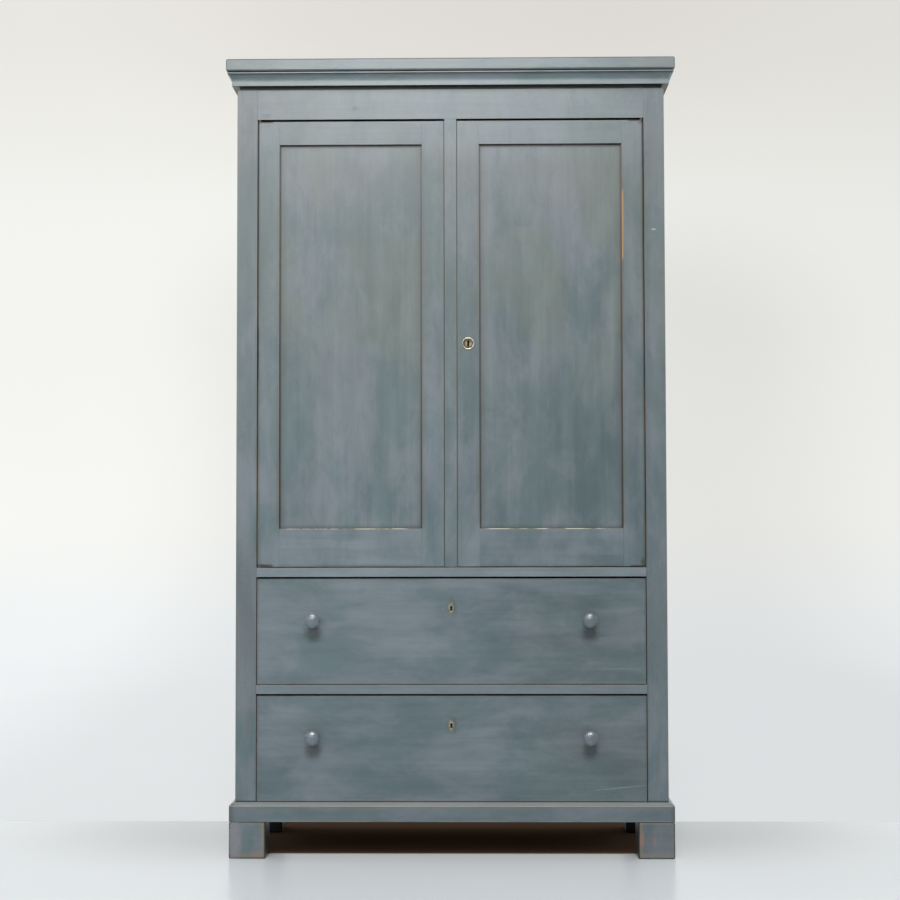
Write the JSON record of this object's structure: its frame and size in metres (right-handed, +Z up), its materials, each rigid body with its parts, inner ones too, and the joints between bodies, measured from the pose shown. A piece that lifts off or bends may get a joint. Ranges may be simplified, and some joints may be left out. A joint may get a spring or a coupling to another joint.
{
  "type": "linen press",
  "caption": "Tall painted cupboard: framed doors either side of a fixed post, long drawers with turned knobs below, flat cornice and block feet.",
  "frame": {"origin": "on the floor, under the middle of the whole object's box, knobs included", "axes": "+Z up, the doors and drawers face -Y, +X to the right as one faces them"},
  "size_m": [1.1866, 0.508, 2.1],
  "materials": {
    "painted_pine": "blue-grey paint, brushed on, satin, worn to wood along the edges",
    "bare_pine": "bare aged pine",
    "iron": "dark iron",
    "brass": "old brass"
  },
  "bodies": {
    "carcass": {"side_left": "painted_pine", "side_right": "painted_pine", "stile_left": "painted_pine", "stile_right": "painted_pine", "frieze_rail": "painted_pine", "centre_post": "painted_pine", "drawer_rail_upper": "painted_pine", "drawer_rail_lower": "painted_pine", "bottom_board": "bare_pine", "cupboard_floor": "bare_pine", "shelf_lower": "bare_pine", "shelf_upper": "bare_pine", "drawer_runner_left": "bare_pine", "drawer_runner_right": "bare_pine", "back_panel": "bare_pine", "cornice_cap": "painted_pine", "cornice_cove_front": "painted_pine", "cornice_cove_left": "painted_pine", "cornice_cove_right": "painted_pine", "base_moulding_front": "painted_pine", "base_moulding_left": "painted_pine", "base_moulding_right": "painted_pine", "foot_front_left": "painted_pine", "foot_front_right": "painted_pine", "foot_rear_left": "painted_pine", "foot_rear_right": "painted_pine"},
    "door_left": {"door_left_hinge_stile": "painted_pine", "door_left_meeting_stile": "painted_pine", "door_left_top_rail": "painted_pine", "door_left_bottom_rail": "painted_pine", "door_left_panel": "painted_pine", "door_left_pivot_top": "iron", "door_left_pivot_bottom": "iron"},
    "door_right": {"door_right_hinge_stile": "painted_pine", "door_right_meeting_stile": "painted_pine", "door_right_top_rail": "painted_pine", "door_right_bottom_rail": "painted_pine", "door_right_panel": "painted_pine", "door_right_pivot_top": "iron", "door_right_pivot_bottom": "iron", "door_lock_case": "iron", "door_escutcheon": "brass"},
    "lock_bolt": {"door_lock_bolt": "iron"},
    "button": {"turn_button": "bare_pine"},
    "drawer_upper": {"drawer_upper_front": "painted_pine", "drawer_upper_side_left": "bare_pine", "drawer_upper_side_right": "bare_pine", "drawer_upper_back": "bare_pine", "drawer_upper_bottom": "bare_pine", "drawer_upper_knob_left": "painted_pine", "drawer_upper_knob_right": "painted_pine", "drawer_upper_lock": "iron"},
    "drawer_lower": {"drawer_lower_front": "painted_pine", "drawer_lower_side_left": "bare_pine", "drawer_lower_side_right": "bare_pine", "drawer_lower_back": "bare_pine", "drawer_lower_bottom": "bare_pine", "drawer_lower_knob_left": "painted_pine", "drawer_lower_knob_right": "painted_pine", "drawer_lower_lock": "iron"}
  },
  "joints": [
    {"name": "door_left_hinge", "type": "hinge", "parent": "carcass", "child": "door_left", "pos_m": [-0.5057, -0.207, 0.7575], "axis": [0, 0, -1], "range_deg": [0, 95]},
    {"name": "door_right_hinge", "type": "hinge", "parent": "carcass", "child": "door_right", "pos_m": [0.5057, -0.207, 0.7575], "axis": [0, 0, 1], "range_deg": [0, 95]},
    {"name": "drawer_upper_slide", "type": "slide", "parent": "carcass", "child": "drawer_upper", "axis": [0, -1, 0], "range_m": [0, 0.33]},
    {"name": "drawer_lower_slide", "type": "slide", "parent": "carcass", "child": "drawer_lower", "axis": [0, -1, 0], "range_m": [0, 0.33]},
    {"name": "door_lock_slide", "type": "slide", "parent": "door_right", "child": "lock_bolt", "axis": [-1, 0, 0], "range_m": [0, 0.0085]},
    {"name": "turn_button_hinge", "type": "hinge", "parent": "door_left", "child": "button", "pos_m": [-0.1115, -0.19, 1.9225], "axis": [0, 1, 0], "range_deg": [0, 90]}
  ]
}
